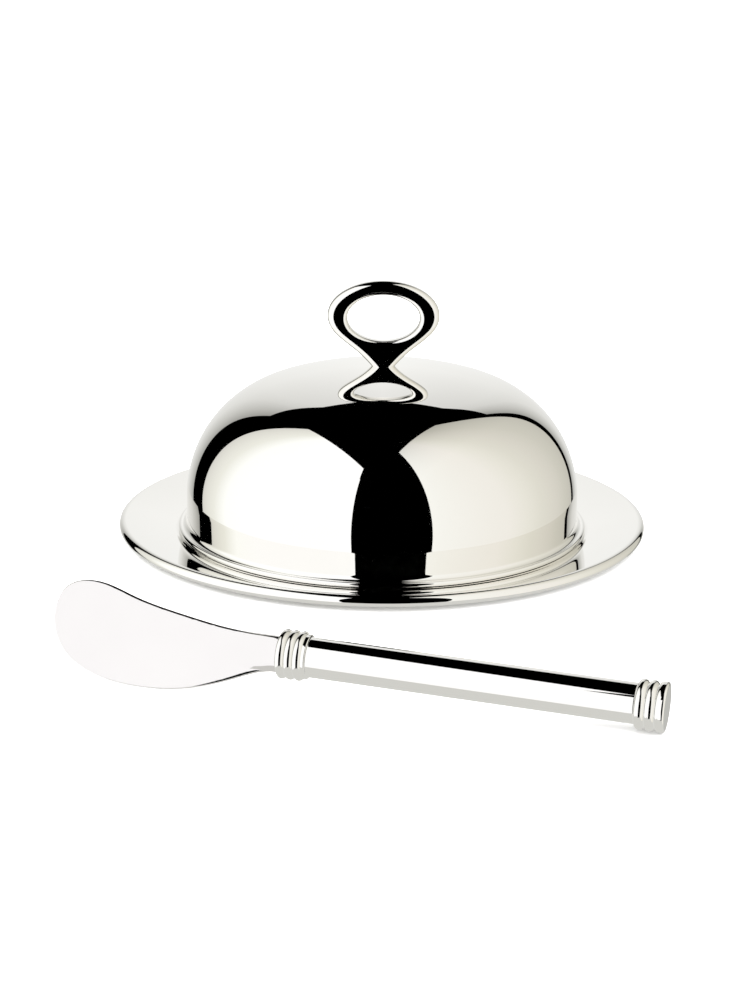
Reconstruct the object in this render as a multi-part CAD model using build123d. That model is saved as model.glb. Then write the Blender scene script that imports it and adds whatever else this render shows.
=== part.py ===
from build123d import *
import math
import os

# Butter dish: a round dished plate, a lift-off domed lid with an oval ring handle,
# and a broad-bladed spreader that lies in front of the dish.
# Millimetres, +Z up. The origin is the centre of the plate's underside.
# -Y is the front of the dish, where the spreader lies.

# Fits
SEAT_GAP = 0.05          # between pieces that rest or butt on each other

# Plate
PLATE_SHEET = 1.2
BORDER_CLEARANCE = 0.3   # bare floor between the lid's flange and the border
BORDER_WIDTH = 17.0      # from the end of the floor to the middle of the rolled rim
BORDER_HEIGHT = 2.1      # from the floor's upper face up to that middle
RIM_BEAD_R = 1.75
BORDER_BEND_R = 3.0      # hollow where the floor turns up into the sloping border

# Lid
LID_WALL_R = 63.2        # outside of the upright wall
LID_SHEET = 0.9
LID_CROWN_R = 118.0      # flat arc over the top
LID_SHOULDER_R = 38.6    # tighter arc from the crown into the wall
LID_WALL_HEIGHT = 10.8   # from the plate's floor up to where the shoulder starts
LID_FLARE_R = 1.9        # hollow curve from the wall out to the flange
FLANGE_BEAD_R = 0.85     # rolled edge of the flange

# Handle
FINGER_HALF_WIDTH = 11.5      # oval opening
FINGER_HALF_HEIGHT = 7.45
FINGER_BOTTOM_Z = 8.3         # above the top of the dome
BAR_SIDE = 6.4                # metal around the opening
BAR_TOP = 4.5
BAR_BOTTOM = 3.2
HANDLE_DEPTH = 5.5            # front to back
OUTER_ROUND = 2.0             # rounding of the cast edges, outside
INNER_ROUND = 1.6             # and round the opening
STEM_HALF_WIDTH = 3.7         # where the handle meets the dome
STEM_SLOPE = 49.0             # lean of its sides there, degrees above level
STEM_FLARE = [(6.2, 2.7), (9.6, 5.7)]   # half width and height, up the flare
STEM_JOIN_ANGLE = 29.0        # below the ring's middle, where the flared stem runs into it
STEM_FOOT = 1.0               # stock below the top of the dome, before the foot is cut to fit

# Handle fixing
SCREW_R = 1.5
SCREW_CLEARANCE = 0.15
THREAD_DEPTH = 5.0
SCREW_END_SPACE = 0.6
SCREW_HEAD_R = 2.8
SCREW_HEAD_HEIGHT = 1.8
HEAD_SLOT_LENGTH = 3.64
HEAD_SLOT_WIDTH = 0.7
HEAD_SLOT_DEPTH = 0.8
WASHER_R = 4.5
WASHER_SHEET = 0.6

# Spreader, drawn along its handle's axis: X runs from the blade to the end cap,
# X = 0 is where the blade's neck meets the collar, the blade's spine is on +Z
BLADE_LENGTH = 65.8
SPINE_HEIGHT = 13.0           # highest point of the spine, above the axis
BELLY_DEPTH = 14.6            # lowest point of the cutting edge, below the axis
BELLY_SHARE = 0.608           # where that lowest point is, as a share of the blade
NECK_TOP = 4.7
NECK_BOTTOM = -5.4
BLADE_HALF_THICKNESS = 1.1    # at the neck, on the axis
BLADE_TAPER_LENGTHWISE = 0.0095
BLADE_TAPER_DOWNWARDS = 0.0205
BOLSTER_LENGTH = 11.0
BOLSTER_WIDTH = 7.0
BOLSTER_START = 0.1           # how much the bolster starts inside the blade's faces
TANG_STUB_R = 3.0
TANG_WIDTH = 5.0
TANG_THICKNESS = 2.4
TANG_LENGTH = 62.0
HANDLE_LENGTH = 105.4         # neck to the face of the end cap
TUBE_R = 5.5
TUBE_WALL = 0.8
RING_STAND = 1.3              # turned rings, above the tube
GROOVE_STAND = 0.25           # bottom of the grooves between them, above the tube
LIP_STAND = 0.575
RING_COUNT = 3
COLLAR_RING_PITCH = 2.4
COLLAR_LIP = 1.1
LIP_LAP = 0.3                 # how far the lip reaches under the last ring
CAP_RING_PITCH = 2.7
SPIGOT_LENGTH = 6.0           # how far the collar and the cap go into the tube
CAP_FACE_ROUND = 0.7

# Where the spreader lies: it stands on the belly of its blade and on its end cap
SPREADER_X = -27.0
SPREADER_TO_PLATE = 65.0      # from the plate's rim to the neck of the blade
SPREADER_TURN = 15.0          # end cap towards the front, degrees
SPREADER_LEAN = 34.0          # spine of the blade tipped towards the dish, degrees
TILT_PASSES = 5               # corrections until both ends touch

# Worked out from the sizes above
FLOOR_Z = PLATE_SHEET
SEAT_Z = FLOOR_Z + SEAT_GAP
SHOULDER_CENTRE_R = LID_WALL_R - LID_SHOULDER_R
SHOULDER_CENTRE_Z = FLOOR_Z + LID_WALL_HEIGHT
CROWN_CENTRE_Z = SHOULDER_CENTRE_Z - math.sqrt(
    (LID_CROWN_R - LID_SHOULDER_R) ** 2 - SHOULDER_CENTRE_R ** 2)
DOME_TOP = CROWN_CENTRE_Z + LID_CROWN_R
FLANGE_CENTRE_R = LID_WALL_R + LID_FLARE_R
FLANGE_CENTRE_Z = SEAT_Z + FLANGE_BEAD_R
FLANGE_TOP_Z = FLANGE_CENTRE_Z + LID_SHEET / 2
# the border slopes up from the bend and runs smoothly over the rolled rim
BORDER_R = FLANGE_CENTRE_R + FLANGE_BEAD_R + BORDER_CLEARANCE
BORDER_SLOPE = math.atan2(BORDER_HEIGHT - BORDER_BEND_R, BORDER_WIDTH) + math.asin(
    (BORDER_BEND_R + RIM_BEAD_R) / math.hypot(BORDER_HEIGHT - BORDER_BEND_R, BORDER_WIDTH))
RIM_CENTRE_R = BORDER_R + BORDER_WIDTH
RIM_Z = FLOOR_Z + BORDER_HEIGHT
SPREADER_Y = -(RIM_CENTRE_R + RIM_BEAD_R + SPREADER_TO_PLATE)
RING_HALF_WIDTH = FINGER_HALF_WIDTH + BAR_SIDE
RING_HALF_HEIGHT = FINGER_HALF_HEIGHT + (BAR_TOP + BAR_BOTTOM) / 2
FINGER_CENTRE_Z = FINGER_BOTTOM_Z + FINGER_HALF_HEIGHT
RING_CENTRE_Z = FINGER_CENTRE_Z + (BAR_TOP - BAR_BOTTOM) / 2
COLLAR_RING_R = TUBE_R + RING_STAND
GROOVE_R = TUBE_R + GROOVE_STAND
TUBE_BORE_R = TUBE_R - TUBE_WALL
BELLY_X = -BLADE_LENGTH * BELLY_SHARE
COLLAR_LENGTH = RING_COUNT * COLLAR_RING_PITCH + COLLAR_LIP
CAP_LENGTH = RING_COUNT * CAP_RING_PITCH
CAP_X = HANDLE_LENGTH - CAP_LENGTH


def turned(face):
    """A solid of revolution about Z from a half section drawn in XZ."""
    return revolve(face, Axis.Z)


def section(*edges):
    """A face in XZ from edges that close a loop."""
    return make_face(Wire(list(edges)))


def base_plate():
    """Spun plate: flat floor, border that slopes up, rolled rim."""
    bend_centre = (BORDER_R, FLOOR_Z + BORDER_BEND_R)
    turn = math.degrees(BORDER_SLOPE)
    upper = CenterArc(bend_centre, BORDER_BEND_R, 270, turn)
    lower = CenterArc(bend_centre, BORDER_BEND_R + PLATE_SHEET, 270, turn)
    over_rim, under_rim = (
        (RIM_CENTRE_R - r * math.sin(BORDER_SLOPE), RIM_Z + r * math.cos(BORDER_SLOPE))
        for r in (RIM_BEAD_R, RIM_BEAD_R - PLATE_SHEET))
    half = section(
        Line((0, 0), (BORDER_R, 0)),
        lower,
        Line(lower @ 1, under_rim),
        Line(under_rim, over_rim),
        Line(over_rim, upper @ 1),
        upper,
        Line((BORDER_R, FLOOR_Z), (0, FLOOR_Z)),
        Line((0, FLOOR_Z), (0, 0)),
    )
    sheet = turned(Plane.XZ * half)
    rim = turned(Plane.XZ * Pos(RIM_CENTRE_R, RIM_Z) * Circle(RIM_BEAD_R))
    return sheet + rim


def dome_arcs(inset):
    """Crown, shoulder, wall and flare of the lid, moved inwards by inset."""
    direction = math.degrees(math.atan2(
        SHOULDER_CENTRE_Z - CROWN_CENTRE_Z, SHOULDER_CENTRE_R))
    wall_r = LID_WALL_R - inset
    flare_z = FLANGE_TOP_Z + LID_FLARE_R
    crown = CenterArc((0, CROWN_CENTRE_Z), LID_CROWN_R - inset, direction, 90 - direction)
    shoulder = CenterArc(
        (SHOULDER_CENTRE_R, SHOULDER_CENTRE_Z), LID_SHOULDER_R - inset, 0, direction)
    wall = Line((wall_r, SHOULDER_CENTRE_Z), (wall_r, flare_z))
    flare = CenterArc((FLANGE_CENTRE_R, flare_z), LID_FLARE_R + inset, 180, 90)
    return [crown, shoulder, wall, flare]


def lid_dome():
    """Spun dome with an upright wall, a hollow flare and a rolled flange."""
    outer = dome_arcs(0)
    inner = dome_arcs(LID_SHEET)
    half = section(
        *outer,
        Line(outer[3] @ 1, inner[3] @ 1),
        *inner,
        Line((0, DOME_TOP - LID_SHEET), (0, DOME_TOP)),
    )
    shell = turned(Plane.XZ * half)
    bead = turned(Plane.XZ * Pos(FLANGE_CENTRE_R, FLANGE_CENTRE_Z) * Circle(FLANGE_BEAD_R))
    hole = Pos(0, 0, DOME_TOP) * Cylinder(SCREW_R + SCREW_CLEARANCE, 4 * LID_SHEET)
    return shell + bead - hole


def handle_ring():
    """Cast oval ring on a flared stem; its foot follows the crown of the dome."""
    foot_z = -STEM_FOOT
    slope = math.radians(STEM_SLOPE)
    foot_x = STEM_HALF_WIDTH - STEM_FOOT / math.tan(slope)
    ring = EllipticalCenterArc(
        (0, RING_CENTRE_Z), RING_HALF_WIDTH, RING_HALF_HEIGHT,
        start_angle=-STEM_JOIN_ANGLE, arc_size=90 + STEM_JOIN_ANGLE)
    flank = Spline(
        (foot_x, foot_z), *STEM_FLARE, ring @ 0,
        tangents=[(math.cos(slope), math.sin(slope)), ring % 0])
    half = make_face(Wire([
        flank,
        ring,
        Line(ring @ 1, (0, foot_z)),
        Line((0, foot_z), (foot_x, foot_z)),
    ]))
    finger = Pos(0, FINGER_CENTRE_Z) * Ellipse(FINGER_HALF_WIDTH, FINGER_HALF_HEIGHT)
    outline = half + mirror(half, Plane.YZ) - finger
    solid = extrude(Plane.XZ * outline, HANDLE_DEPTH / 2, both=True)
    faces = solid.faces().sort_by(Axis.Y)
    rims = [
        e for e in faces[0].edges() + faces[-1].edges()
        if e.bounding_box().max.Z > foot_z / 2
    ]
    inner = [e for e in rims if e.is_closed]
    outer = [e for e in rims if not e.is_closed]
    inner_round = min(INNER_ROUND, 0.4 * BAR_TOP)
    outer_round = min(OUTER_ROUND, 0.45 * BAR_TOP)
    solid = solid.fillet(outer_round, outer).fillet(inner_round, inner)
    solid = Pos(0, 0, DOME_TOP) * solid
    dome = Pos(0, 0, CROWN_CENTRE_Z) * Sphere(LID_CROWN_R + SEAT_GAP)
    depth = THREAD_DEPTH + SCREW_END_SPACE
    thread = Pos(0, 0, DOME_TOP - foot_z) * Cylinder(
        SCREW_R, 2 * (depth + foot_z), align=(Align.CENTER, Align.CENTER, Align.CENTER))
    return solid - dome - thread


def washer_top():
    """Height at which the flat washer's edge meets the hollow side of the crown."""
    inside_r = LID_CROWN_R - LID_SHEET
    return CROWN_CENTRE_Z + math.sqrt(inside_r ** 2 - WASHER_R ** 2) - SEAT_GAP


def handle_washer():
    blank = Cylinder(WASHER_R, WASHER_SHEET, align=(Align.CENTER, Align.CENTER, Align.MAX))
    hole = Cylinder(SCREW_R + SCREW_CLEARANCE, 4 * WASHER_SHEET)
    return Pos(0, 0, washer_top()) * (blank - hole)


def handle_screw():
    """Pan head screw with a cross recess, up through the washer and the dome."""
    head_top = washer_top() - WASHER_SHEET - SEAT_GAP
    shank_length = DOME_TOP + THREAD_DEPTH - head_top
    shank_r = SCREW_R - SEAT_GAP
    head = Cylinder(SCREW_HEAD_R, SCREW_HEAD_HEIGHT, align=(Align.CENTER, Align.CENTER, Align.MAX))
    head = fillet(head.edges().sort_by(Axis.Z)[0], SCREW_HEAD_HEIGHT / 3)
    shank = Cylinder(shank_r, shank_length, align=(Align.CENTER, Align.CENTER, Align.MIN))
    slot = Pos(0, 0, -SCREW_HEAD_HEIGHT) * Box(
        HEAD_SLOT_LENGTH, HEAD_SLOT_WIDTH, 2 * HEAD_SLOT_DEPTH)
    screw = head + shank - slot - Rot(0, 0, 90) * slot
    return Pos(0, 0, head_top) * screw


def along_axis(shape):
    """Turn a shape of revolution about Z so that its axis is the spreader's X."""
    return Rot(0, 90, 0) * shape


def turned_rings(start, pitch):
    """Half-round rings side by side, the first one starting at start along the axis."""
    ring_r = pitch / 2
    rings = along_axis(Pos(0, 0, start) * Cylinder(
        GROOVE_R, RING_COUNT * pitch, align=(Align.CENTER, Align.CENTER, Align.MIN)))
    for number in range(RING_COUNT):
        middle = start + (number + 0.5) * pitch
        rings += along_axis(Pos(0, 0, middle) * Torus(COLLAR_RING_R - ring_r, ring_r))
    return rings


def knife_blade():
    """Blade with a thickened neck and a tang, tapered towards its tip and its edge."""
    spine_shares = [(0.2, 0.37), (0.426, 0.523), (0.669, 0.785), (0.874, 1.0), (0.97, 0.8)]
    belly_shares = [
        (0.935, 0.466), (0.79, 0.863), (BELLY_SHARE, 1.0), (0.395, 0.938),
        (0.167, 0.596), (0.053, 0.397)]
    tip = (-BLADE_LENGTH, 0.323 * SPINE_HEIGHT)
    spine = Spline(
        (0, NECK_TOP), *[(-BLADE_LENGTH * x, SPINE_HEIGHT * z) for x, z in spine_shares], tip,
        tangents=[(-1, 0), (0, -1)])
    belly = Spline(
        tip, *[(-BLADE_LENGTH * x, -BELLY_DEPTH * z) for x, z in belly_shares], (0, NECK_BOTTOM),
        tangents=[(0, -1), (1, 0)])
    outline = section(spine, belly, Line((0, NECK_BOTTOM), (0, NECK_TOP)))
    blade = extrude(Plane.XZ * outline, 2 * BLADE_HALF_THICKNESS, both=True)
    for side in (-1, 1):
        slope = (-BLADE_TAPER_LENGTHWISE, side, -BLADE_TAPER_DOWNWARDS)
        cut = Plane(origin=(0, side * BLADE_HALF_THICKNESS, 0), z_dir=slope)
        blade -= cut * Box(
            4 * BLADE_LENGTH, 4 * BLADE_LENGTH, 10 * BLADE_HALF_THICKNESS,
            align=(Align.CENTER, Align.CENTER, Align.MIN))
    neck_height = NECK_TOP - NECK_BOTTOM
    neck_middle = (NECK_TOP + NECK_BOTTOM) / 2
    thin = 2 * (BLADE_HALF_THICKNESS - BLADE_TAPER_LENGTHWISE * BOLSTER_LENGTH)
    thin -= BOLSTER_START
    small = Plane.YZ.offset(-BOLSTER_LENGTH) * Pos(0, neck_middle) * RectangleRounded(
        thin, neck_height - 4 * BOLSTER_START, 0.45 * thin)
    large = Plane.YZ * Pos(0, neck_middle) * RectangleRounded(
        BOLSTER_WIDTH, neck_height, 0.45 * BOLSTER_WIDTH)
    bolster = loft([small, large])
    stub = along_axis(Cylinder(
        TANG_STUB_R, COLLAR_LENGTH + SPIGOT_LENGTH, align=(Align.CENTER, Align.CENTER, Align.MIN)))
    tang = Box(
        TANG_LENGTH, TANG_THICKNESS, TANG_WIDTH, align=(Align.MIN, Align.CENTER, Align.CENTER))
    return blade + bolster + stub + tang


def knife_collar():
    """Collar with three turned rings, a lip and a spigot inside the tube."""
    start = SEAT_GAP
    body = turned_rings(start, COLLAR_RING_PITCH)
    lip = along_axis(Pos(0, 0, COLLAR_LENGTH) * Cylinder(
        TUBE_R + LIP_STAND, COLLAR_LIP + LIP_LAP,
        align=(Align.CENTER, Align.CENTER, Align.MAX)))
    spigot = along_axis(Pos(0, 0, start) * Cylinder(
        TUBE_BORE_R - SEAT_GAP, COLLAR_LENGTH + SPIGOT_LENGTH - start,
        align=(Align.CENTER, Align.CENTER, Align.MIN)))
    bore = along_axis(Cylinder(TANG_STUB_R + SEAT_GAP, 4 * (COLLAR_LENGTH + SPIGOT_LENGTH)))
    return body + lip + spigot - bore


def knife_handle_tube():
    """Plain tube between the collar and the end cap."""
    start = COLLAR_LENGTH + SEAT_GAP
    length = CAP_X - SEAT_GAP - start
    place = (Align.CENTER, Align.CENTER, Align.MIN)
    tube = Cylinder(TUBE_R, length, align=place) - Cylinder(TUBE_BORE_R, length, align=place)
    return along_axis(Pos(0, 0, start) * tube)


def knife_end_cap():
    """End cap with three turned rings, a flat face and a spigot inside the tube."""
    rings = turned_rings(CAP_X, CAP_RING_PITCH)
    last_middle = CAP_X + (RING_COUNT - 0.5) * CAP_RING_PITCH
    disc = Pos(0, 0, last_middle) * Cylinder(
        COLLAR_RING_R, HANDLE_LENGTH - last_middle, align=(Align.CENTER, Align.CENTER, Align.MIN))
    disc = fillet(disc.edges().sort_by(Axis.Z)[-1], CAP_FACE_ROUND)
    spigot = Pos(0, 0, CAP_X - SPIGOT_LENGTH) * Cylinder(
        TUBE_BORE_R - SEAT_GAP, SPIGOT_LENGTH + CAP_RING_PITCH,
        align=(Align.CENTER, Align.CENTER, Align.MIN))
    return rings + along_axis(disc) + along_axis(spigot)


def knife_filler(blade):
    """Cement that fills the tube between the two spigots, around the tang."""
    start = COLLAR_LENGTH + SPIGOT_LENGTH + SEAT_GAP
    length = CAP_X - SPIGOT_LENGTH - SEAT_GAP - start
    plug = Cylinder(TUBE_BORE_R - SEAT_GAP, length, align=(Align.CENTER, Align.CENTER, Align.MIN))
    socket = Box(
        2 * (TANG_LENGTH + SEAT_GAP), TANG_THICKNESS + 2 * SEAT_GAP, TANG_WIDTH + 2 * SEAT_GAP)
    return along_axis(Pos(0, 0, start) * plug) - socket


def laid_on_table(pieces):
    """Lean, tilt and turn the spreader until its belly and its end cap touch Z = 0."""
    tilt = 0
    for _ in range(TILT_PASSES):
        pose = Rot(0, tilt, 0) * Rot(-SPREADER_LEAN, 0, 0)
        belly_z, cap_z = (
            (pose * pieces[name]).bounding_box().min.Z for name in ("knife_blade", "knife_end_cap"))
        tilt += math.degrees(math.asin((cap_z - belly_z) / (HANDLE_LENGTH - BELLY_X)))
    turn = Rot(0, 0, -SPREADER_TURN) * Rot(0, tilt, 0) * Rot(-SPREADER_LEAN, 0, 0)
    lowest = min((turn * piece).bounding_box().min.Z for piece in pieces.values())
    print(f"spreader tilt {tilt:.3f} degrees, axis {-lowest:.3f} mm up at the neck")
    place = Pos(SPREADER_X, SPREADER_Y, -lowest)
    return {name: place * turn * piece for name, piece in pieces.items()}


blade = knife_blade()
nodes = {
    "base_plate": base_plate(),
    "lid_dome": lid_dome(),
    "handle_ring": handle_ring(),
    "handle_washer": handle_washer(),
    "handle_screw": handle_screw(),
}
nodes.update(laid_on_table({
    "knife_blade": blade,
    "knife_collar": knife_collar(),
    "knife_handle_tube": knife_handle_tube(),
    "knife_end_cap": knife_end_cap(),
    "knife_filler": knife_filler(blade),
}))

os.makedirs("parts", exist_ok=True)
for name, solid in nodes.items():
    export_step(solid, f"parts/{name}.step")
    box = solid.bounding_box()
    print(f"{name}: {solid.volume:.0f} mm3, Z {box.min.Z:.2f} to {box.max.Z:.2f}")
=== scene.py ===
import math

import bmesh
import bpy
from mathutils import Matrix, Vector


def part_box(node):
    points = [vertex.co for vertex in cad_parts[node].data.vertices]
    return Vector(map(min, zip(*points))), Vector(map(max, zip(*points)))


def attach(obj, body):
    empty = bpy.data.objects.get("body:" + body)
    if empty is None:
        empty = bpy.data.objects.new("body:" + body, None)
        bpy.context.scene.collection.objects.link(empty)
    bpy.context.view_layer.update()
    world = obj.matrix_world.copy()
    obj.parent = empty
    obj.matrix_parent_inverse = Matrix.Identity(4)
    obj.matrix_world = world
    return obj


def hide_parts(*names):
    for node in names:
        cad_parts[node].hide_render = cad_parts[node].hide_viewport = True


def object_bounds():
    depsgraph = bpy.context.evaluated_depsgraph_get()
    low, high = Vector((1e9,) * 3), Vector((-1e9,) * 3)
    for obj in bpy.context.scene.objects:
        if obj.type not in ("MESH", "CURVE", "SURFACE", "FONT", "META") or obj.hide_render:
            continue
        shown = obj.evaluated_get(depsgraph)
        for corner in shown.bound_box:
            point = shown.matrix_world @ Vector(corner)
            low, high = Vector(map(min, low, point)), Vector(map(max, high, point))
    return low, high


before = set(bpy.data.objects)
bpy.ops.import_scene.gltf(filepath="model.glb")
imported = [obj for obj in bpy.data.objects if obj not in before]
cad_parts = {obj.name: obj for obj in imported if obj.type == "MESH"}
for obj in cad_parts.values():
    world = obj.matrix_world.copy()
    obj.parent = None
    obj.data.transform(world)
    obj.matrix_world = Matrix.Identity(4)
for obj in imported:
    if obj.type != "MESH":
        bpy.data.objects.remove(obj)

# Butter dish in silver plate: a round dished plate, a lift-off dome with an oval ring
# handle, and a broad-bladed spreader. Shapes are drawn in millimetres in an XZ plane,
# then spun or extruded, and every finished mesh is in metres in the frame of the CAD.

cad_low, cad_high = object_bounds()

MM = 0.001

# Plate
PLATE_SHEET = 1.2
RIM_BEAD_R = 1.75        # rolled rim
BORDER_WIDTH = 17.0      # from the end of the floor to the middle of the rim
BORDER_HEIGHT = 2.1      # from the floor up to the middle of the rim
BORDER_BEND_R = 3.0      # hollow where the floor turns up into the sloping border

# Dome
LID_SHEET = 0.9
LID_CROWN_R = 118.0      # flat arc over the top
LID_SHOULDER_R = 38.6    # tighter arc from the crown into the wall
LID_FLARE_R = 1.9        # hollow curve from the wall out to the flange
FLANGE_BEAD_R = 0.85     # rolled edge
SCREW_HOLE_R = 1.65

# Ring handle, heights above the top of the dome
FINGER_HALF_WIDTH = 11.5
FINGER_HALF_HEIGHT = 7.45
FINGER_CENTRE_Z = 15.75
RING_HALF_WIDTH = 17.9
RING_HALF_HEIGHT = 11.3
RING_CENTRE_Z = 16.4
HANDLE_DEPTH = 5.5
OUTER_ROUND = 2.2
INNER_ROUND = 1.6
STEM_HALF_WIDTH = 3.7
STEM_SLOPE = 49.0        # lean of the stem's sides at the dome, degrees above level
STEM_FLARE = [(6.2, 2.7), (9.6, 5.7)]
STEM_JOIN_ANGLE = 29.0
STEM_STOCK = 2.2         # stem drawn this far into the dome, then cut off along its surface
STEM_STEPS = 14          # along each stretch of the stem's sides
RING_STEPS = 44          # from the stem up to the top of the ring
OPENING_STEPS = 128
ROUND_STEPS = 10         # across each rounded edge
FLAT_STRIP = 0.08        # strip round the flat sides that keeps them flat in the light

# Spreader, along its own axis: X = 0 is the neck, blade on -X, spine on +Z
BLADE_LENGTH = 65.8
SPINE_HEIGHT = 13.0
BELLY_DEPTH = 14.6
NECK_TOP = 4.7
NECK_BOTTOM = -5.4
BLADE_HALF_THICKNESS = 1.1
BLADE_TAPER_LENGTHWISE = 0.0095
BLADE_TAPER_DOWNWARDS = 0.0205
BLADE_EDGE_WIDTH = 1.15  # how far the rounding of the edge reaches into the blade's faces
BLADE_EDGE_STEPS = 7
BOLSTER_LENGTH = 15.0
BOLSTER_HALF_WIDTH = 3.5
STUB_R = 3.0             # round root of the tang, in the collar's bore
STUB_LENGTH = 14.3
TANG_LENGTH = 62.0
TANG_THICKNESS = 2.4
TANG_WIDTH = 5.0
HANDLE_LENGTH = 105.4
TUBE_R = 5.5
TUBE_BORE_R = 4.7
RING_R = 6.8             # over the turned rings
GROOVE_R = 5.75
LIP_R = 6.075
RING_COUNT = 3
COLLAR_PITCH = 2.4
COLLAR_LENGTH = 8.3
CAP_PITCH = 2.7
SPIGOT_LENGTH = 6.0
CAP_FACE_ROUND = 0.7
BUTT_GAP = 0.05
CAP_X = HANDLE_LENGTH - RING_COUNT * CAP_PITCH

# How the spreader lies in front of the plate
SPREADER_PLACE = (-27.0, -150.0, 11.011)
SPREADER_TURN = 15.0
SPREADER_TILT = 2.308
SPREADER_LEAN = 34.0

AROUND = 320             # steps round the dome and the plate
SPREADER_STEPS = 96      # steps round the turned parts of the spreader
SHARP_ANGLE = 35.0       # degrees; edges that turn more than this stay sharp
MERGE = 0.0005           # vertices nearer than this become one


# Mesh tools

def arc_to(mesh, vert, centre, end, way, degrees_a_step=3.0):
    """Carry a vertex round a centre in XZ to end: way 1 turns Z towards X, -1 the other way."""
    start_angle = math.atan2(vert.co.z - centre[1], vert.co.x - centre[0])
    end_angle = math.atan2(end[1] - centre[1], end[0] - centre[0])
    angle = (way * (start_angle - end_angle)) % math.tau
    steps = max(3, math.ceil(math.degrees(angle) / degrees_a_step))
    spun = bmesh.ops.spin(
        mesh, geom=[vert], cent=(centre[0], 0, centre[1]), axis=(0, 1, 0),
        angle=way * angle, steps=steps)
    return spun["geom_last"][0]


def line_to(mesh, vert, end, stops=(1.0,)):
    """Draw a straight stretch in XZ, with a vertex at each share of its length in stops."""
    start = vert.co.copy()
    finish = Vector((end[0], 0, end[1]))
    for share in stops:
        vert = bmesh.ops.extrude_vert_indiv(mesh, verts=[vert])["verts"][0]
        vert.co = start.lerp(finish, share)
    return vert


def crossing(centre_a, radius_a, centre_b, radius_b, side):
    """Where two circles in XZ meet, on the given side of the line from a to b."""
    a = Vector(centre_a)
    between = Vector(centre_b) - a
    distance = between.length
    along = (distance ** 2 + radius_a ** 2 - radius_b ** 2) / (2 * distance)
    across = side * math.sqrt(radius_a ** 2 - along ** 2)
    unit = between / distance
    return a + along * unit + across * Vector((-unit.y, unit.x))


def smooth_curve(points, start_way, end_way, steps):
    """Points along the smooth cubic curve through the given points, with its end directions."""
    points = [Vector(p) for p in points]
    spans = [(b - a).length for a, b in zip(points, points[1:])]
    ways = [Vector(start_way).normalized()]
    ways += [(c - a) / (c - a).length for a, c in zip(points, points[2:])]
    ways.append(Vector(end_way).normalized())
    for _ in range(30):
        for i in range(1, len(points) - 1):
            before, after = spans[i - 1], spans[i]
            pull = 3 * ((points[i] - points[i - 1]) / before ** 2
                        + (points[i + 1] - points[i]) / after ** 2)
            pull -= ways[i - 1] / before + ways[i + 1] / after
            ways[i] = pull / (2 / before + 2 / after)
    curve = [points[0]]
    for i, span in enumerate(spans):
        for step in range(1, steps + 1):
            t = step / steps
            a, b = points[i], points[i + 1]
            curve.append(
                a * (2 * t ** 3 - 3 * t ** 2 + 1) + b * (3 * t ** 2 - 2 * t ** 3)
                + ways[i] * span * (t ** 3 - 2 * t ** 2 + t)
                + ways[i + 1] * span * (t ** 3 - t ** 2))
    return curve


def trace(mesh, vert, curve):
    """Draw on through the points of a curve, leaving out its first, where the vertex is."""
    for point in curve[1:]:
        vert = line_to(mesh, vert, point)
    return vert


def spin_round(mesh, axis, steps):
    """Spin a profile all the way round, close it and turn its faces outwards."""
    bmesh.ops.spin(
        mesh, geom=mesh.verts[:] + mesh.edges[:], cent=(0, 0, 0), axis=axis,
        angle=math.tau, steps=steps, use_merge=True)
    finish_faces(mesh)


def finish_faces(mesh):
    """Close the seams, drop faces with no area and turn the faces outwards."""
    bmesh.ops.remove_doubles(mesh, verts=mesh.verts[:], dist=MERGE)
    bmesh.ops.dissolve_degenerate(mesh, edges=mesh.edges[:], dist=MERGE)
    bmesh.ops.recalc_face_normals(mesh, faces=mesh.faces[:])


def in_scene(name, mesh, material):
    """Make a bmesh an object of the scene, in its material."""
    data = bpy.data.meshes.new(name)
    mesh.to_mesh(data)
    mesh.free()
    data.materials.append(material)
    made = bpy.data.objects.new(name, data)
    bpy.context.scene.collection.objects.link(made)
    return made


def new_piece(name, mesh, place, body, node, material):
    """Turn a bmesh in millimetres into a piece in metres that stands for its CAD node."""
    bmesh.ops.transform(mesh, matrix=Matrix.Scale(MM, 4) @ place, verts=mesh.verts[:])
    for face in mesh.faces:
        face.smooth = True
    piece = in_scene(name, mesh, material)
    piece.data.set_sharp_from_angle(angle=math.radians(SHARP_ANGLE))
    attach(piece, body)
    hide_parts(node)
    return piece


# Materials

# directions of the wiping hairlines, turned about X, Y and Z in radians, and their spacing
WIPES = (
    ((0.3, 0.2, 0.7), 0.0004),
    ((1.1, -0.4, -0.5), 0.0006),
    ((-0.5, 1.2, 1.9), 0.0005),
)
SCRATCH_ROUGHNESS = 0.05     # what a hairline adds to the roughness


def linear(code):
    """sRGB hex to linear colour."""
    parts = [int(code[i:i + 2], 16) / 255 for i in (1, 3, 5)]
    return [c / 12.92 if c <= 0.04045 else ((c + 0.055) / 1.055) ** 2.4 for c in parts] + [1.0]


def add(tree, kind, inputs=None, **settings):
    """Add a node with its settings; an input is given a value or linked to a socket."""
    new = tree.nodes.new(kind)
    for name, value in settings.items():
        setattr(new, name, value)
    for key, value in (inputs or {}).items():
        if isinstance(value, bpy.types.NodeSocket):
            tree.links.new(value, new.inputs[key])
        else:
            new.inputs[key].default_value = value
    return new


def new_material(name):
    """An empty material: its node tree, its shader and its Object coordinates."""
    material = bpy.data.materials.new(name)
    material.use_nodes = True
    tree = material.node_tree
    shader = tree.nodes["Principled BSDF"]
    place = add(tree, "ShaderNodeTexCoord").outputs["Object"]
    return material, tree, shader, place


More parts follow.
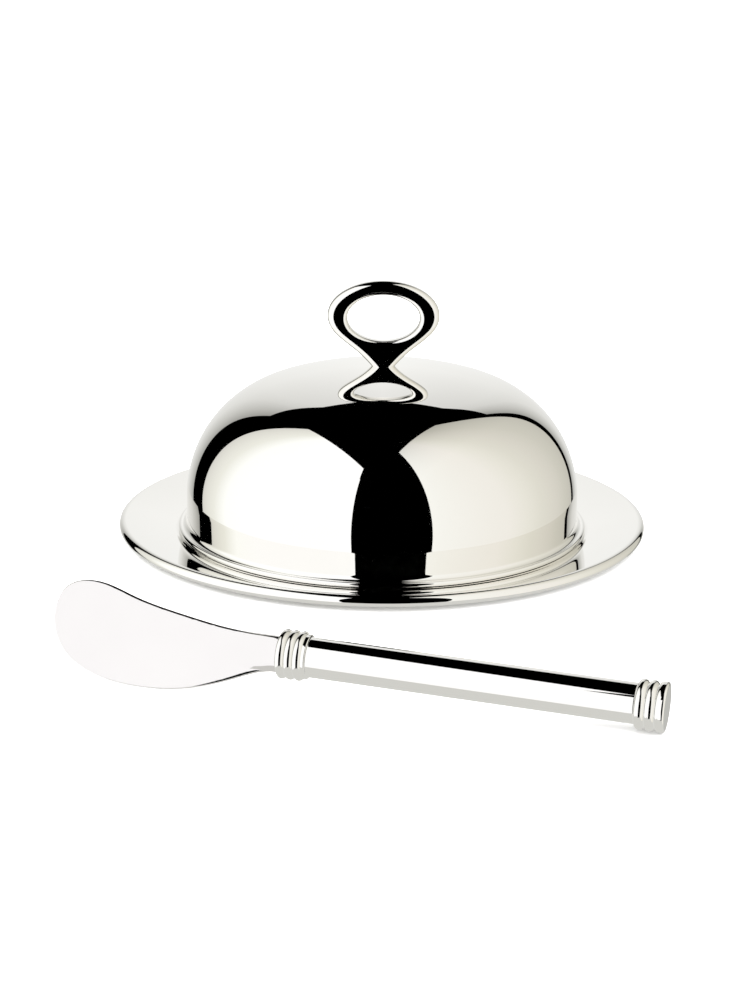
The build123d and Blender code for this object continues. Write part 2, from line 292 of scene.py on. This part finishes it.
def hairlines(tree, place, turn, spacing, share):
    """Fine scratches in one direction: 1 on a scratch, 0 elsewhere.

    spacing is the distance between neighbouring streaks in metres. Real ones are some ten
    times finer; they are drawn this coarse so that they show."""
    turned = add(tree, "ShaderNodeMapping", {
        "Vector": place, "Rotation": turn, "Scale": (0.012, 1.0, 1.0)})
    streaks = add(tree, "ShaderNodeTexNoise", {
        "Vector": turned.outputs[0], "Scale": 1 / spacing, "Detail": 1.0, "Roughness": 0.4})
    edge = 0.5 + 0.5 * (1 - share)
    return add(tree, "ShaderNodeMapRange", {
        "Value": streaks.outputs["Fac"], "From Min": edge - 0.06, "From Max": edge}).outputs[0]


def silver(name, dark, light, roughness, scratch_share, scratch_depth, cloud_size):
    """Silver plate, buffed: a warm white metal with faint clouds and wiping hairlines."""
    material, tree, shader, place = new_material(name)
    clouds = add(tree, "ShaderNodeTexNoise", {
        "Vector": place, "Scale": 1 / cloud_size, "Detail": 4.0, "Roughness": 0.55})
    colour = add(tree, "ShaderNodeMixRGB", {
        "Fac": clouds.outputs["Fac"], "Color1": linear(dark), "Color2": linear(light)})
    tree.links.new(colour.outputs[0], shader.inputs["Base Color"])
    shader.inputs["Metallic"].default_value = 1.0
    marks = 0.0
    for turn, spacing in WIPES:
        streaks = hairlines(tree, place, turn, spacing, scratch_share)
        marks = add(
            tree, "ShaderNodeMath", {0: marks, 1: streaks}, operation="MAXIMUM").outputs[0]
    low, high = roughness
    base = add(tree, "ShaderNodeMapRange", {
        "Value": clouds.outputs["Fac"], "From Min": 0.35, "From Max": 0.65,
        "To Min": low, "To Max": high})
    rough = add(tree, "ShaderNodeMath", {
        0: marks, 1: SCRATCH_ROUGHNESS, 2: base.outputs[0]}, operation="MULTIPLY_ADD")
    tree.links.new(rough.outputs[0], shader.inputs["Roughness"])
    bump = add(tree, "ShaderNodeBump", {
        "Height": marks, "Distance": scratch_depth, "Strength": 0.25})
    tree.links.new(bump.outputs[0], shader.inputs["Normal"])
    return material


def turned_steel(name, colour, roughness, pitch):
    """Zinc-plated steel, turned: greyish metal with rings from the lathe, drawn coarser than
    real ones so that they show."""
    material, tree, shader, place = new_material(name)
    rings = add(tree, "ShaderNodeTexWave", {
        "Vector": place, "Scale": 1 / pitch, "Distortion": 0.4, "Detail": 1.0},
        wave_type="RINGS", rings_direction="Z")
    shader.inputs["Base Color"].default_value = linear(colour)
    shader.inputs["Metallic"].default_value = 1.0
    rough = add(tree, "ShaderNodeMapRange", {
        "Value": rings.outputs["Fac"], "To Min": roughness - 0.06, "To Max": roughness + 0.06})
    tree.links.new(rough.outputs[0], shader.inputs["Roughness"])
    bump = add(tree, "ShaderNodeBump", {
        "Height": rings.outputs["Fac"], "Distance": 0.00001, "Strength": 0.5})
    tree.links.new(bump.outputs[0], shader.inputs["Normal"])
    return material


def cement(name, dark, light, grain):
    """Handle cement, poured and set: a dull sandy filler with fine grit."""
    material, tree, shader, place = new_material(name)
    grit = add(tree, "ShaderNodeTexNoise", {
        "Vector": place, "Scale": 1 / grain, "Detail": 3.0, "Roughness": 0.7})
    colour = add(tree, "ShaderNodeMixRGB", {
        "Fac": grit.outputs["Fac"], "Color1": linear(dark), "Color2": linear(light)})
    tree.links.new(colour.outputs[0], shader.inputs["Base Color"])
    shader.inputs["Roughness"].default_value = 0.85
    bump = add(tree, "ShaderNodeBump", {
        "Height": grit.outputs["Fac"], "Distance": 0.0001, "Strength": 0.6})
    tree.links.new(bump.outputs[0], shader.inputs["Normal"])
    return material


# sizes in metres
polished_silver = silver(
    "polished_silver_plate", dark="#F9F8F5", light="#FCFBF9", roughness=(0.012, 0.03),
    scratch_share=0.36, scratch_depth=0.0000015, cloud_size=0.03)
blade_silver = silver(
    "buffed_blade_silver", dark="#F0EDED", light="#F4F2F1", roughness=(0.07, 0.11),
    scratch_share=0.38, scratch_depth=0.0000015, cloud_size=0.02)
screw_steel = turned_steel("zinc_plated_steel", "#B9BBBD", roughness=0.34, pitch=0.0006)
handle_cement = cement("handle_cement", dark="#8F8673", light="#B3AA95", grain=0.0008)


# Plate and lid

def plate():
    """Spun plate: flat floor, border that slopes up and runs over the rolled rim."""
    rim = Vector((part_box("base_plate")[1].x / MM - RIM_BEAD_R, PLATE_SHEET + BORDER_HEIGHT))
    bend = Vector((rim.x - BORDER_WIDTH, PLATE_SHEET + BORDER_BEND_R))
    rise = BORDER_HEIGHT - BORDER_BEND_R
    slope = math.atan2(rise, BORDER_WIDTH) + math.asin(
        (BORDER_BEND_R + RIM_BEAD_R) / math.hypot(rise, BORDER_WIDTH))
    up_border = Vector((math.cos(slope), math.sin(slope)))
    off_border = Vector((-math.sin(slope), math.cos(slope)))
    beside = RIM_BEAD_R - PLATE_SHEET
    under_rim = rim + beside * off_border - math.sqrt(RIM_BEAD_R ** 2 - beside ** 2) * up_border
    mesh = bmesh.new()
    vert = mesh.verts.new((0, 0, PLATE_SHEET))
    vert = line_to(mesh, vert, (bend.x, PLATE_SHEET), (0.25, 0.5, 0.75, 0.9, 0.97, 0.99, 0.998, 1))
    vert = arc_to(mesh, vert, bend, bend - BORDER_BEND_R * off_border, -1, 1.5)
    vert = line_to(mesh, vert, rim + RIM_BEAD_R * off_border, (0.01, 0.05, 0.5, 0.95, 0.99, 1))
    vert = arc_to(mesh, vert, rim, under_rim, 1, 6.0)
    under_r = BORDER_BEND_R + PLATE_SHEET
    vert = line_to(mesh, vert, bend - under_r * off_border, (0.02, 0.5, 0.95, 1))
    vert = arc_to(mesh, vert, bend, (bend.x, 0), 1, 3.0)
    line_to(mesh, vert, (0, 0), (0.01, 0.05, 0.5, 1))
    spin_round(mesh, (0, 0, 1), AROUND)
    return new_piece(
        "dished_plate", mesh, Matrix(), "plate", "base_plate", polished_silver)


def dome_top():
    """Height of the dome's crown over the table, in millimetres."""
    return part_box("lid_dome")[1].z / MM


def dome():
    """Spun dome with an upright wall, a hollow flare and a rolled flange."""
    low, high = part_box("lid_dome")
    top = dome_top()
    flange = (high.x / MM - FLANGE_BEAD_R, low.z / MM + FLANGE_BEAD_R)
    wall_r = flange[0] - LID_FLARE_R
    flare = (flange[0], flange[1] + LID_SHEET / 2 + LID_FLARE_R)
    crown = (0, top - LID_CROWN_R)
    shoulder_r = wall_r - LID_SHOULDER_R
    shoulder = (shoulder_r, crown[1] + math.sqrt(
        (LID_CROWN_R - LID_SHOULDER_R) ** 2 - shoulder_r ** 2))
    towards = (Vector(shoulder) - Vector(crown)).normalized()
    flare_in = LID_FLARE_R + LID_SHEET
    over_bead = crossing(flange, FLANGE_BEAD_R, flare, LID_FLARE_R, 1)
    under_bead = crossing(flange, FLANGE_BEAD_R, flare, flare_in, 1)
    inner = LID_SHEET
    mesh = bmesh.new()
    hole_z = crown[1] + math.sqrt(LID_CROWN_R ** 2 - SCREW_HOLE_R ** 2)
    hole_in = crown[1] + math.sqrt((LID_CROWN_R - inner) ** 2 - SCREW_HOLE_R ** 2)
    first = mesh.verts.new((SCREW_HOLE_R, 0, hole_z))
    vert = arc_to(mesh, first, crown, Vector(crown) + towards * LID_CROWN_R, 1, 1.0)
    vert = arc_to(mesh, vert, shoulder, (wall_r, shoulder[1]), 1, 1.5)
    vert = line_to(mesh, vert, (wall_r, flare[1]), (0.02, 0.1, 0.5, 0.9, 0.98, 1))
    vert = arc_to(mesh, vert, flare, over_bead, -1, 5.0)
    vert = arc_to(mesh, vert, flange, under_bead, 1, 10.0)
    vert = arc_to(mesh, vert, flare, (wall_r - inner, flare[1]), 1, 8.0)
    vert = line_to(mesh, vert, (wall_r - inner, shoulder[1]), (0.05, 0.5, 0.95, 1))
    vert = arc_to(
        mesh, vert, shoulder, Vector(shoulder) + towards * (LID_SHOULDER_R - inner), -1, 3.0)
    vert = arc_to(mesh, vert, crown, (SCREW_HOLE_R, hole_in), -1, 2.0)
    mesh.edges.new((vert, first))
    spin_round(mesh, (0, 0, 1), AROUND)
    return new_piece("dome", mesh, Matrix(), "lid", "lid_dome", polished_silver)


def round_opening(point):
    """True on the wall of the finger opening."""
    across = point.x / FINGER_HALF_WIDTH
    up = (point.z - FINGER_CENTRE_Z) / FINGER_HALF_HEIGHT
    return across ** 2 + up ** 2 < 1.02


def handle():
    """Cast oval ring on a flared stem; its foot follows the crown of the dome."""
    top = dome_top()
    join = math.radians(-STEM_JOIN_ANGLE)
    join_at = (RING_HALF_WIDTH * math.cos(join), RING_CENTRE_Z + RING_HALF_HEIGHT * math.sin(join))
    join_way = (-RING_HALF_WIDTH * math.sin(join), RING_HALF_HEIGHT * math.cos(join))
    slope = math.radians(STEM_SLOPE)
    foot = (STEM_HALF_WIDTH - STEM_STOCK / math.tan(slope), -STEM_STOCK)
    mesh = bmesh.new()
    vert = mesh.verts.new((foot[0], 0, foot[1]))
    vert = line_to(mesh, vert, (STEM_HALF_WIDTH, 0), (0.25, 0.5, 0.75, 1))
    vert = trace(mesh, vert, smooth_curve(
        [(STEM_HALF_WIDTH, 0)] + STEM_FLARE + [join_at],
        (math.cos(slope), math.sin(slope)), join_way, STEM_STEPS))
    for step in range(1, RING_STEPS + 1):
        angle = join + (math.pi / 2 - join) * step / RING_STEPS
        vert = line_to(mesh, vert, (
            RING_HALF_WIDTH * math.cos(angle), RING_CENTRE_Z + RING_HALF_HEIGHT * math.sin(angle)))
    bmesh.ops.mirror(
        mesh, geom=mesh.verts[:] + mesh.edges[:], axis="X", merge_dist=0.001)
    feet = sorted(mesh.verts, key=lambda v: v.co.z)[:2]
    mesh.edges.new(feet)
    outer = mesh.edges[:]
    opening = bmesh.ops.create_circle(mesh, segments=OPENING_STEPS, radius=1.0)["verts"]
    bmesh.ops.transform(
        mesh, verts=opening,
        matrix=Matrix.Translation((0, 0, FINGER_CENTRE_Z))
        @ Matrix.Diagonal((FINGER_HALF_WIDTH, 1, FINGER_HALF_HEIGHT, 1))
        @ Matrix.Rotation(math.pi / 2, 4, "X"))
    rim = [e for e in mesh.edges if e not in set(outer)]
    bmesh.ops.triangle_fill(
        mesh, edges=outer + rim, use_beauty=True, use_dissolve=True, normal=(0, -1, 0))
    front = bmesh.ops.extrude_face_region(mesh, geom=mesh.faces[:])
    moved = [g for g in front["geom"] if isinstance(g, bmesh.types.BMVert)]
    bmesh.ops.translate(mesh, verts=moved, vec=(0, HANDLE_DEPTH, 0))
    bmesh.ops.translate(mesh, verts=mesh.verts[:], vec=(0, -HANDLE_DEPTH / 2, 0))
    finish_faces(mesh)
    rims = [
        e for e in mesh.edges
        if e.calc_face_angle() > math.radians(60)
        and min(v.co.z for v in e.verts) > -STEM_STOCK + 0.1
        and abs(e.verts[0].co.y - e.verts[1].co.y) < 0.01]
    inner = [e for e in rims if all(round_opening(v.co) for v in e.verts)]
    outer = [e for e in rims if e not in set(inner)]
    for edges, rounding in ((outer, OUTER_ROUND), (inner, INNER_ROUND)):
        bmesh.ops.bevel(
            mesh, geom=edges, offset=rounding, offset_type="OFFSET", segments=ROUND_STEPS,
            profile=0.5, affect="EDGES", material=-1, clamp_overlap=False)
    sides = [f for f in mesh.faces if abs(f.normal.y) > 0.9999]
    bmesh.ops.inset_region(
        mesh, faces=sides, thickness=FLAT_STRIP, use_boundary=True, use_even_offset=True)
    # cut the stem off just below the surface of the dome and let its foot follow the crown
    cut = bmesh.ops.bisect_plane(
        mesh, geom=mesh.verts[:] + mesh.edges[:] + mesh.faces[:], plane_co=(0, 0, 0),
        plane_no=(0, 0, 1), clear_inner=True)
    edge = [g for g in cut["geom_cut"] if isinstance(g, bmesh.types.BMEdge)]
    bmesh.ops.holes_fill(mesh, edges=edge, sides=0)
    for vert in mesh.verts:
        if vert.co.z < 0.001:
            vert.co.z -= (vert.co.x ** 2 + vert.co.y ** 2) / (2 * LID_CROWN_R)
    finish_faces(mesh)
    return new_piece(
        "ring_handle", mesh, Matrix.Translation((0, 0, top)), "lid", "handle_ring",
        polished_silver)


# Spreader

def spreader_place():
    """From the spreader's own axis to where it lies in front of the plate."""
    return (
        Matrix.Translation(SPREADER_PLACE)
        @ Matrix.Rotation(math.radians(-SPREADER_TURN), 4, "Z")
        @ Matrix.Rotation(math.radians(SPREADER_TILT), 4, "Y")
        @ Matrix.Rotation(math.radians(-SPREADER_LEAN), 4, "X"))


def blade_half_thickness(x, z):
    """Wedge of the blade, swelling into the rounded neck near X = 0."""
    flat = BLADE_HALF_THICKNESS + BLADE_TAPER_LENGTHWISE * x + BLADE_TAPER_DOWNWARDS * z
    share = max(0.0, 1 + x / BOLSTER_LENGTH)
    swell = share ** 2 * (3 - 2 * share)
    middle = (NECK_TOP + NECK_BOTTOM) / 2
    height = (NECK_TOP - NECK_BOTTOM) / 2
    across = max(0.0, 1 - abs((z - middle) / height) ** 3) ** 0.5
    return flat + (BOLSTER_HALF_WIDTH - flat) * swell * across


def blade_outline(mesh):
    """Outline of the blade in XZ, drawn a little past the neck, as one face."""
    spine = [(0.2, 0.37), (0.426, 0.523), (0.669, 0.785), (0.874, 1.0), (0.97, 0.8)]
    belly = [
        (0.935, 0.466), (0.79, 0.863), (0.608, 1.0), (0.395, 0.938),
        (0.167, 0.596), (0.053, 0.397)]
    tip = (-BLADE_LENGTH, 0.323 * SPINE_HEIGHT)
    top = [(0, NECK_TOP)] + [(-BLADE_LENGTH * x, SPINE_HEIGHT * z) for x, z in spine] + [tip]
    bottom = [tip] + [(-BLADE_LENGTH * x, -BELLY_DEPTH * z) for x, z in belly]
    bottom.append((0, NECK_BOTTOM))
    past = 2 * BLADE_EDGE_WIDTH
    first = mesh.verts.new((past, 0, NECK_TOP))
    vert = line_to(mesh, first, (0, NECK_TOP), (0.5, 1))
    vert = trace(mesh, vert, smooth_curve(top, (-1, 0), (0, -1), 14))
    vert = trace(mesh, vert, smooth_curve(bottom, (0, -1), (1, 0), 12))
    vert = line_to(mesh, vert, (past, NECK_BOTTOM), (0.5, 1))
    mesh.edges.new((vert, first))
    return bmesh.ops.contextual_create(mesh, geom=mesh.edges[:])["faces"][0]


def blade():
    """Forged blade with a rounded edge all round, a swelling neck and a tang."""
    mesh = bmesh.new()
    fullness = mesh.verts.layers.float.new("fullness")
    face = blade_outline(mesh)
    reached = 0.0
    for step in range(1, BLADE_EDGE_STEPS + 1):
        turn = math.pi / 2 * step / BLADE_EDGE_STEPS
        depth = BLADE_EDGE_WIDTH * (1 - math.cos(turn))
        bmesh.ops.inset_region(
            mesh, faces=[face], thickness=depth - reached, use_boundary=True,
            use_even_offset=True)
        for vert in face.verts:
            vert[fullness] = math.sin(turn)
        reached = depth
    # cut the flat face into a grid, fine near the neck, that can take the wedge and the swelling
    grid = [(-0.75 * x, (1, 0, 0)) for x in range(1, 20)]
    grid += [(-4.0 * x, (1, 0, 0)) for x in range(4, 17)]
    grid += [(0.8 * z, (0, 0, 1)) for z in range(-18, 17)]
    for place, normal in grid:
        bmesh.ops.bisect_plane(
            mesh, geom=mesh.verts[:] + mesh.edges[:] + mesh.faces[:],
            plane_co=place * Vector(normal), plane_no=normal, dist=0.01)
    bmesh.ops.bisect_plane(
        mesh, geom=mesh.verts[:] + mesh.edges[:] + mesh.faces[:],
        plane_co=(0, 0, 0), plane_no=(1, 0, 0), clear_outer=True)
    for vert in mesh.verts:
        vert.co.y = -vert[fullness] * blade_half_thickness(vert.co.x, vert.co.z)
    bmesh.ops.mirror(mesh, geom=mesh.verts[:] + mesh.edges[:] + mesh.faces[:], axis="Y",
                     merge_dist=0.001)
    neck = [e for e in mesh.edges if e.is_boundary]
    bmesh.ops.holes_fill(mesh, edges=neck, sides=0)
    finish_faces(mesh)
    bmesh.ops.create_cone(
        mesh, cap_ends=True, segments=48, radius1=STUB_R, radius2=STUB_R, depth=STUB_LENGTH,
        matrix=Matrix.Translation((STUB_LENGTH / 2, 0, 0)) @ Matrix.Rotation(math.pi / 2, 4, "Y"))
    bar = (TANG_LENGTH - STUB_LENGTH, TANG_THICKNESS, TANG_WIDTH, 1)
    bmesh.ops.create_cube(
        mesh, size=1.0,
        matrix=Matrix.Translation(((STUB_LENGTH + TANG_LENGTH) / 2, 0, 0)) @ Matrix.Diagonal(bar))
    return new_piece(
        "spreader_blade", mesh, spreader_place(), "spreader", "knife_blade",
        blade_silver)


def turned_rings(mesh, vert, start, pitch, count):
    """Half-round rings side by side along the axis, with narrow grooves between them."""
    ring_r = pitch / 2
    centre_r = RING_R - ring_r
    half = math.sqrt(ring_r ** 2 - (GROOVE_R - centre_r) ** 2)
    for number in range(count):
        middle = start + (number + 0.5) * pitch
        vert = line_to(mesh, vert, (middle - half, GROOVE_R))
        vert = arc_to(mesh, vert, (middle, centre_r), (middle + half, GROOVE_R), 1, 9.0)
    return vert


def spreader_part(name, node, mesh, first, last):
    """Close a profile, spin it about the spreader's axis and lay it in its place."""
    mesh.edges.new((last, first))
    spin_round(mesh, (1, 0, 0), SPREADER_STEPS)
    return new_piece(
        name, mesh, spreader_place(), "spreader", node, polished_silver)


def collar():
    """Collar with three turned rings, a lip and a spigot inside the tube."""
    mesh = bmesh.new()
    bore = STUB_R + BUTT_GAP
    spigot_r = TUBE_BORE_R - BUTT_GAP
    end = COLLAR_LENGTH + SPIGOT_LENGTH
    first = mesh.verts.new((BUTT_GAP, 0, bore))
    vert = line_to(mesh, first, (BUTT_GAP, GROOVE_R), (0.02, 0.98, 1))
    vert = turned_rings(mesh, vert, BUTT_GAP, COLLAR_PITCH, RING_COUNT)
    vert = line_to(mesh, vert, (vert.co.x, LIP_R))
    corner = 0.25
    vert = line_to(mesh, vert, (COLLAR_LENGTH - corner, LIP_R))
    vert = arc_to(
        mesh, vert, (COLLAR_LENGTH - corner, LIP_R - corner), (COLLAR_LENGTH, LIP_R - corner),
        1, 15.0)
    vert = line_to(mesh, vert, (COLLAR_LENGTH, spigot_r), (0.5, 1))
    vert = line_to(mesh, vert, (end, spigot_r), (0.02, 0.98, 1))
    vert = line_to(mesh, vert, (end, bore), (0.05, 0.95, 1))
    return spreader_part("spreader_collar", "knife_collar", mesh, first, vert)


def tube():
    """Plain drawn tube between the collar and the end cap."""
    mesh = bmesh.new()
    start = COLLAR_LENGTH + BUTT_GAP
    end = CAP_X - BUTT_GAP
    ease = 0.12
    first = mesh.verts.new((start, 0, TUBE_BORE_R))
    vert = line_to(mesh, first, (start, TUBE_R - ease))
    vert = arc_to(mesh, vert, (start + ease, TUBE_R - ease), (start + ease, TUBE_R), 1, 20.0)
    vert = line_to(mesh, vert, (end - ease, TUBE_R), (0.002, 0.25, 0.5, 0.75, 0.998, 1))
    vert = arc_to(mesh, vert, (end - ease, TUBE_R - ease), (end, TUBE_R - ease), 1, 20.0)
    vert = line_to(mesh, vert, (end, TUBE_BORE_R))
    return spreader_part("spreader_tube", "knife_handle_tube", mesh, first, vert)


def end_cap():
    """End cap with three turned rings, the last one running into a flat face."""
    mesh = bmesh.new()
    spigot_r = TUBE_BORE_R - BUTT_GAP
    ring_r = CAP_PITCH / 2
    last_middle = HANDLE_LENGTH - ring_r
    centre_r = RING_R - ring_r
    half = math.sqrt(ring_r ** 2 - (GROOVE_R - centre_r) ** 2)
    first = mesh.verts.new((CAP_X - SPIGOT_LENGTH, 0, 0))
    vert = line_to(mesh, first, (CAP_X - SPIGOT_LENGTH, spigot_r), (0.95, 1))
    vert = line_to(mesh, vert, (CAP_X, spigot_r), (0.05, 0.95, 1))
    vert = turned_rings(mesh, vert, CAP_X, CAP_PITCH, RING_COUNT - 1)
    vert = line_to(mesh, vert, (last_middle - half, GROOVE_R))
    vert = arc_to(mesh, vert, (last_middle, centre_r), (last_middle, RING_R), 1, 9.0)
    face_r = RING_R - CAP_FACE_ROUND
    face_x = HANDLE_LENGTH - CAP_FACE_ROUND
    vert = line_to(mesh, vert, (face_x, RING_R), (0.3, 0.7, 1))
    vert = arc_to(mesh, vert, (face_x, face_r), (HANDLE_LENGTH, face_r), 1, 9.0)
    vert = line_to(mesh, vert, (HANDLE_LENGTH, 0), (0.02, 0.1, 0.5, 1))
    return spreader_part("spreader_end_cap", "knife_end_cap", mesh, first, vert)


def finish_node(name, material):
    """Give a CAD node that stays a finished material."""
    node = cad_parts[name]
    node.data.materials.clear()
    node.data.materials.append(material)


plate()
dome()
handle()
# the plate and the dome don't mirror the spreader, which would cross their front as a bar
for part in (blade(), collar(), tube(), end_cap(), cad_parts["knife_filler"]):
    part.visible_glossy = False
finish_node("handle_screw", screw_steel)
finish_node("handle_washer", screw_steel)
finish_node("knife_filler", handle_cement)


# Studio: soft boxes to the left, to the right and behind, with black gaps between them.
# Metres and degrees.

WHITE = "#FFFFFF"
FLOOR_HALF = 6.0
UNDER_GLOW_HALF = 0.5
UNDER_GLOW_Z = -0.30
BACKDROP_STRENGTH = 3.0
LENS = 94.0              # millimetres, as the sensor
SENSOR_WIDTH = 36.0
EYE = (0, -0.8128, 0.2520)
EYE_DOWN = 16.61         # look below level
EYE_TURN = 0.16
EYE_ROLL = 0.45


def only_mirrored(sheet):
    """Polished metal mirrors the sheet; the floor and the camera don't see it."""
    sheet.visible_camera = False
    sheet.visible_diffuse = False
    sheet.visible_shadow = False


def glow(name, stops, along, middle, half, top, strengths):
    """Soft box cloth: colour from stops along its width, strength from low down to its top."""
    material, tree, shader, place = new_material(name)
    tree.nodes.remove(shader)
    across = add(tree, "ShaderNodeVectorMath", {0: place, 1: along}, operation="DOT_PRODUCT")
    share = add(tree, "ShaderNodeMapRange", {
        "Value": across.outputs["Value"], "From Min": middle - half, "From Max": middle + half})
    ramp = add(tree, "ShaderNodeValToRGB", {"Fac": share.outputs[0]})
    for _ in range(len(stops) - 2):
        ramp.color_ramp.elements.new(0.5)
    for element, (position, code) in zip(ramp.color_ramp.elements, stops):
        element.position = (position - middle + half) / (2 * half)
        element.color = linear(code)
    height = add(tree, "ShaderNodeSeparateXYZ", {0: place})
    fade = add(tree, "ShaderNodeMapRange", {
        "Value": height.outputs["Z"], "From Min": 0.3 * top, "From Max": top,
        "To Min": strengths[0], "To Max": strengths[1]})
    light = add(tree, "ShaderNodeEmission", {
        "Color": ramp.outputs["Color"], "Strength": fade.outputs[0]})
    tree.links.new(light.outputs[0], tree.nodes["Material Output"].inputs["Surface"])
    return material


def soft_box(name, azimuth, distance, reach, bottom, top, stops, top_shade=1.0, strength=1.0):
    """An upright glowing sheet that faces the dish; azimuth 0 is the front, 90 is +X."""
    angle = math.radians(azimuth)
    outward = Vector((math.sin(angle), -math.cos(angle), 0))
    along = Vector((math.cos(angle), math.sin(angle), 0))
    corners = [
        outward * distance + along * t + Vector((0, 0, z))
        for t, z in ((reach[0], bottom), (reach[1], bottom), (reach[1], top), (reach[0], top))]
    mesh = bmesh.new()
    mesh.faces.new([mesh.verts.new(corner) for corner in corners])
    middle = (reach[0] + reach[1]) / 2
    half = (reach[1] - reach[0]) / 2
    cloth = glow(
        name + "_cloth", stops, along, middle, half, top, (strength, strength * top_shade))
    sheet = in_scene(name, mesh, cloth)
    only_mirrored(sheet)


soft_box(
    "left_soft_box", -72.5, 0.45, (-0.556, 0.655), -1.0, 1.28,
    [(-0.556, "#D0CFC9"), (-0.491, "#DAD9D2"), (-0.321, "#E9E9E1"), (-0.196, "#FEFFFC"),
     (-0.05, WHITE), (0.655, WHITE)], strength=1.08)
# seen only by the spreader, past the front end of the left box
soft_box(
    "far_left_soft_box", -30.0, 2.5, (-0.6, 0.577), -2.0, 2.9, [(-0.6, WHITE), (0.577, WHITE)],
    strength=1.08)
soft_box(
    "right_soft_box", 75.0, 0.45, (-0.491, 1.086), -1.0, 2.44,
    [(-0.491, "#FCFCF7"), (-0.0236, "#F4F1EA"), (0.0875, "#ECEAE0"), (0.21, "#E2E0D5"),
     (0.364, "#DBD8CE"), (0.597, "#D0CEC3"), (1.086, "#C4C2B8")], top_shade=0.75)
soft_box(
    "back_soft_box", 180.0, 0.60, (-0.42, 0.50), -1.0, 0.67,
    [(-0.42, "#A8A8A4"), (-0.36, "#C8C8C4"), (-0.28, "#E2E2DF"), (0.0, "#FBFBF9"),
     (0.28, "#E2E2DF"), (0.40, "#C8C8C4"), (0.50, "#A8A8A4")], top_shade=0.84)


def flat_sheet(name, half, height, material):
    """A level square sheet; half is half its side."""
    mesh = bmesh.new()
    bmesh.ops.create_grid(mesh, x_segments=1, y_segments=1, size=half)
    bmesh.ops.translate(mesh, verts=mesh.verts[:], vec=(0, 0, height))
    sheet = in_scene(name, mesh, material)
    return sheet


def studio_floor():
    """Pale floor, too bright for a shadow to show; polished metal doesn't mirror it."""
    material, _, shader, _ = new_material("floor_paper")
    shader.inputs["Base Color"].default_value = linear("#F8F8F8")
    shader.inputs["Roughness"].default_value = 1.0
    shader.inputs["Specular IOR Level"].default_value = 0.0
    floor = flat_sheet("floor", FLOOR_HALF, cad_low.z, material)
    floor.visible_glossy = False


def under_glow():
    """Soft grey that the undersides mirror in place of the floor."""
    material, tree, shader, _ = new_material("under_glow_cloth")
    tree.nodes.remove(shader)
    light = add(tree, "ShaderNodeEmission", {"Color": linear("#D4D4D0"), "Strength": 1.0})
    tree.links.new(light.outputs[0], tree.nodes["Material Output"].inputs["Surface"])
    only_mirrored(flat_sheet("under_glow", UNDER_GLOW_HALF, UNDER_GLOW_Z, material))


def studio_world():
    """White all round for the floor and the backdrop; polished metal sees black instead."""
    world = bpy.data.worlds.new("studio")
    bpy.context.scene.world = world
    world.use_nodes = True
    backdrop = world.node_tree.nodes["Background"]
    backdrop.inputs["Color"].default_value = linear(WHITE)
    backdrop.inputs["Strength"].default_value = BACKDROP_STRENGTH
    world.cycles_visibility.glossy = False


def camera():
    """Looks down on the dish from the front."""
    data = bpy.data.cameras.new("camera")
    data.lens = LENS
    data.sensor_width = SENSOR_WIDTH
    eye = bpy.data.objects.new("camera", data)
    bpy.context.scene.collection.objects.link(eye)
    eye.matrix_world = (
        Matrix.Translation(EYE)
        @ Matrix.Rotation(math.radians(EYE_TURN), 4, "Z")
        @ Matrix.Rotation(math.radians(90 - EYE_DOWN), 4, "X")
        @ Matrix.Rotation(math.radians(EYE_ROLL), 4, "Z"))
    bpy.context.scene.camera = eye


studio_floor()
under_glow()
studio_world()
camera()
bpy.context.scene.view_settings.view_transform = "Standard"
